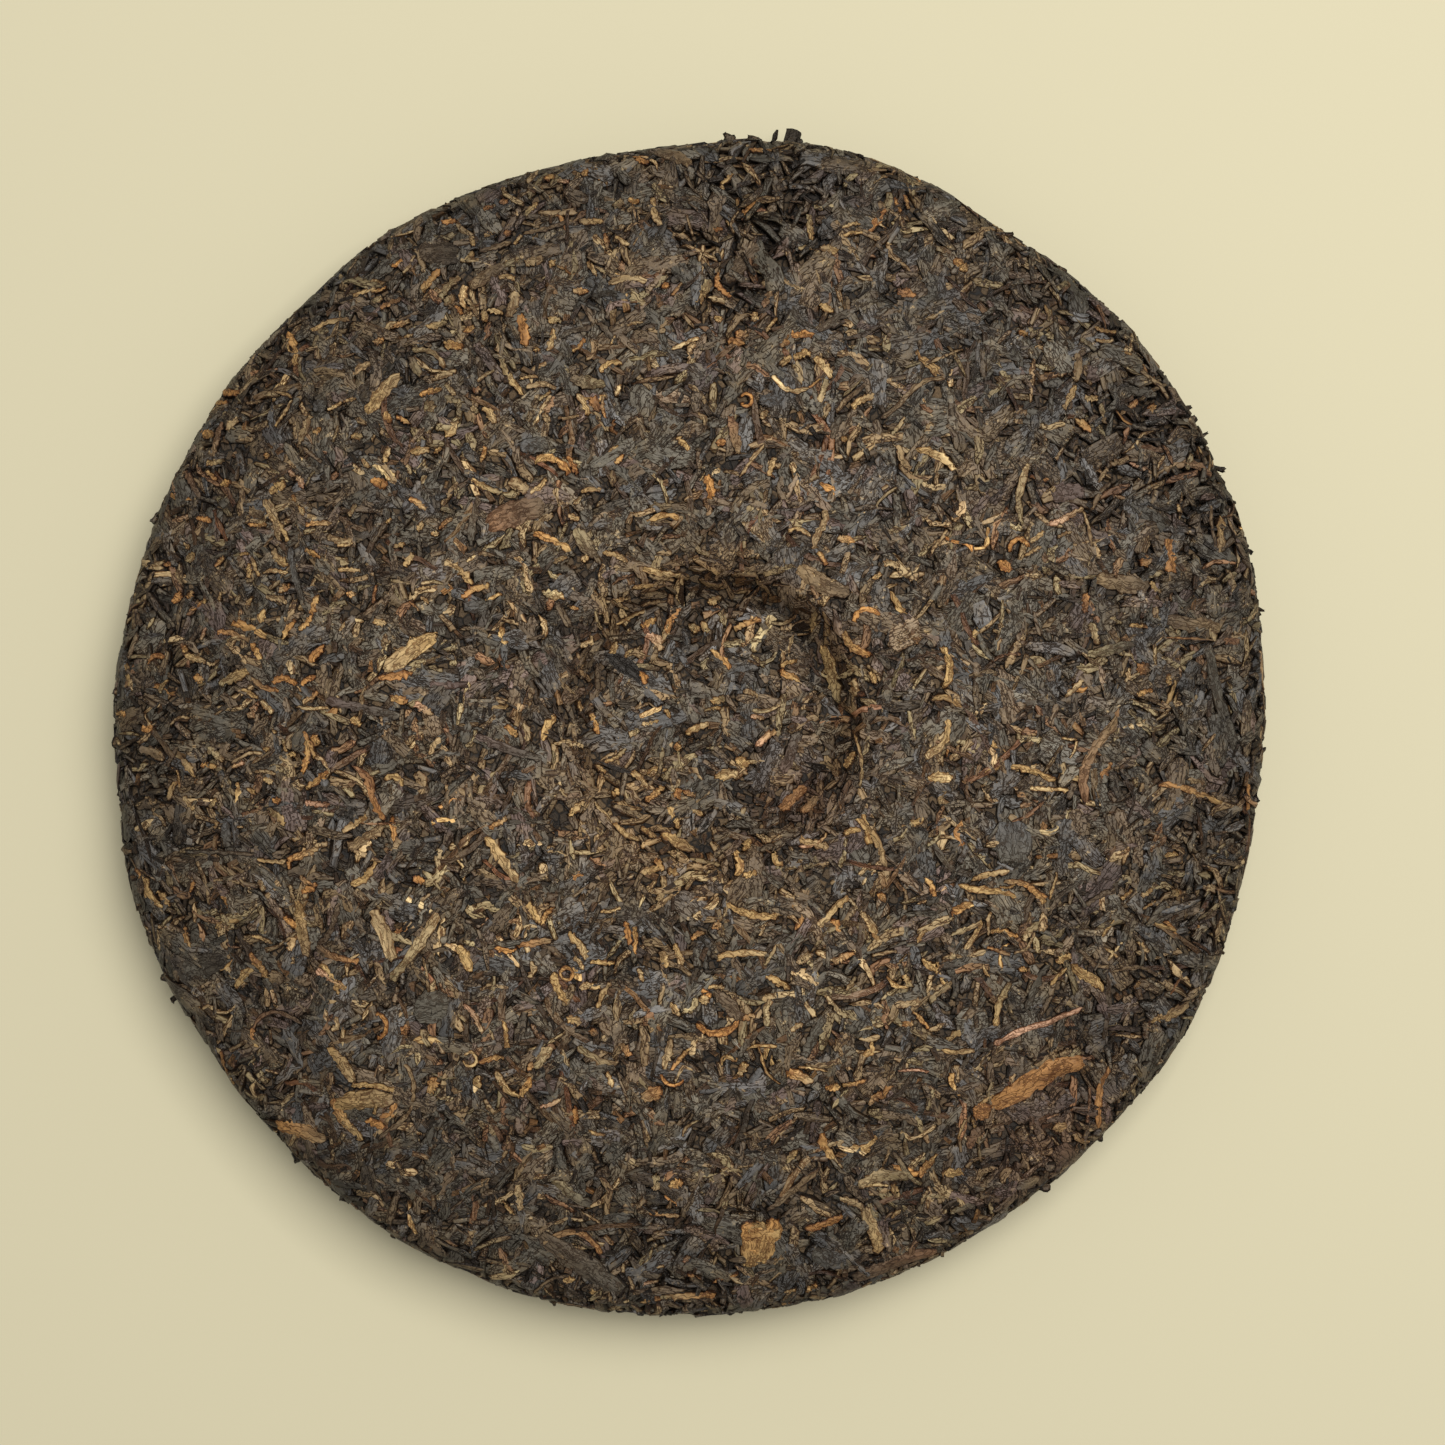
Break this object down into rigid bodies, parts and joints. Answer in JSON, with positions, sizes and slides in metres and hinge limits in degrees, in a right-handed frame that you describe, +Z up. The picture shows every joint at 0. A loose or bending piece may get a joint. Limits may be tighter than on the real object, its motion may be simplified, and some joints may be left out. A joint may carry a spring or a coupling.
{
  "type": "ripe pu-erh tea cake",
  "caption": "Round flat cake of dark pressed tea leaves with a rounded rim, a domed back and a dimple near its middle.",
  "frame": {"origin": "on the ground under the middle of the cake, in the middle of the flat spot that it rests on", "axes": "+Z up, out of the back with the dimple; seen from above, +X to the right and +Y to the top"},
  "size_m": [0.1983, 0.2023, 0.024],
  "materials": {
    "pressed_tea": "dark brown pressed tea leaves, dull with a slight sheen, with scattered golden and tan buds"
  },
  "bodies": {
    "root": {"tea_cake": "pressed_tea"}
  },
  "joints": []
}
